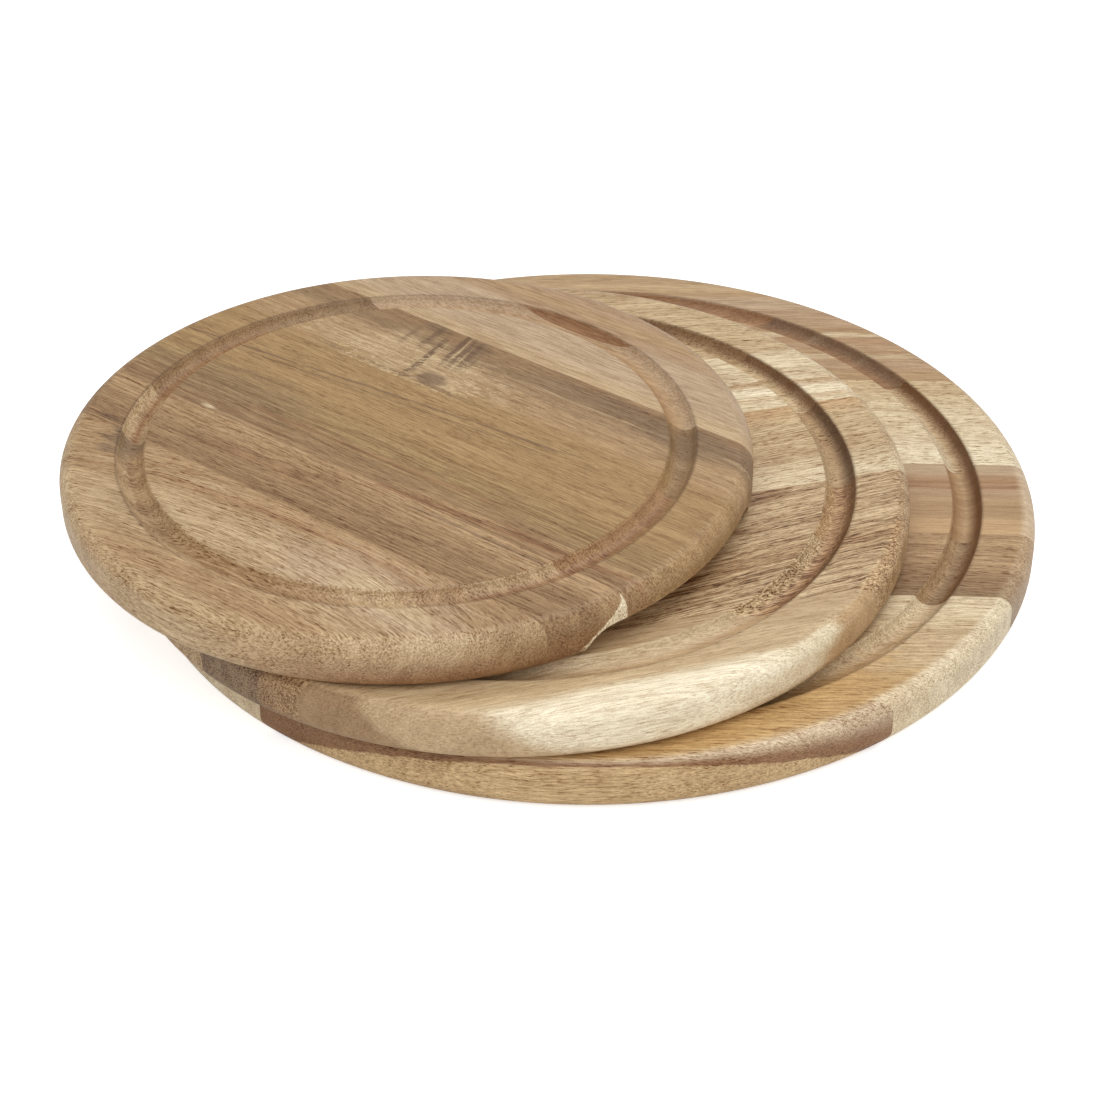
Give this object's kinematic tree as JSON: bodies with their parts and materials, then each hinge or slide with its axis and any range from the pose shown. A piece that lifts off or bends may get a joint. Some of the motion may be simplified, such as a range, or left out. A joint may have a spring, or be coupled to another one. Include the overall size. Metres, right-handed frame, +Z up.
{
  "type": "pizza serving board",
  "caption": "Stack of round wooden pizza serving boards in stepped sizes, edge-glued from staves, each with a juice groove and a finger recess under its rim.",
  "frame": {"origin": "centre of the large board's underside, on the surface that the stack stands on", "axes": "+Z up, square to the boards; +X to the right and +Y to the back as the stack is pictured, with the upper boards drawn out towards -X"},
  "size_m": [0.373, 0.35, 0.06],
  "materials": {
    "pale_sapwood": "oiled, satin, fine open pores",
    "golden_heartwood": "oiled, satin, fine open pores",
    "brown_heartwood": "oiled, satin, dark pore lines",
    "reddish_heartwood": "oiled, satin, dark pore lines"
  },
  "bodies": {
    "large_board": {"large_stave_1": "reddish_heartwood", "large_stave_2": "reddish_heartwood", "large_stave_3": "pale_sapwood", "large_stave_4": "reddish_heartwood", "large_stave_5": "brown_heartwood", "large_stave_6": "pale_sapwood", "large_stave_7": "golden_heartwood"},
    "medium_board": {"medium_stave_1": "pale_sapwood", "medium_stave_2": "pale_sapwood", "medium_stave_3": "pale_sapwood", "medium_stave_4": "golden_heartwood", "medium_stave_5": "brown_heartwood", "medium_stave_6": "brown_heartwood", "medium_stave_7": "pale_sapwood"},
    "small_board": {"small_stave_1": "reddish_heartwood", "small_stave_2": "pale_sapwood", "small_stave_3": "brown_heartwood", "small_stave_4": "golden_heartwood", "small_stave_5": "brown_heartwood", "small_stave_6": "golden_heartwood"}
  },
  "joints": [
    {"name": "medium_lift", "type": "slide", "parent": "large_board", "child": "medium_board", "axis": [0, 0, 1], "range_m": [0, 0.12]},
    {"name": "small_lift", "type": "slide", "parent": "medium_board", "child": "small_board", "axis": [0, 0, 1], "range_m": [0, 0.12]}
  ]
}
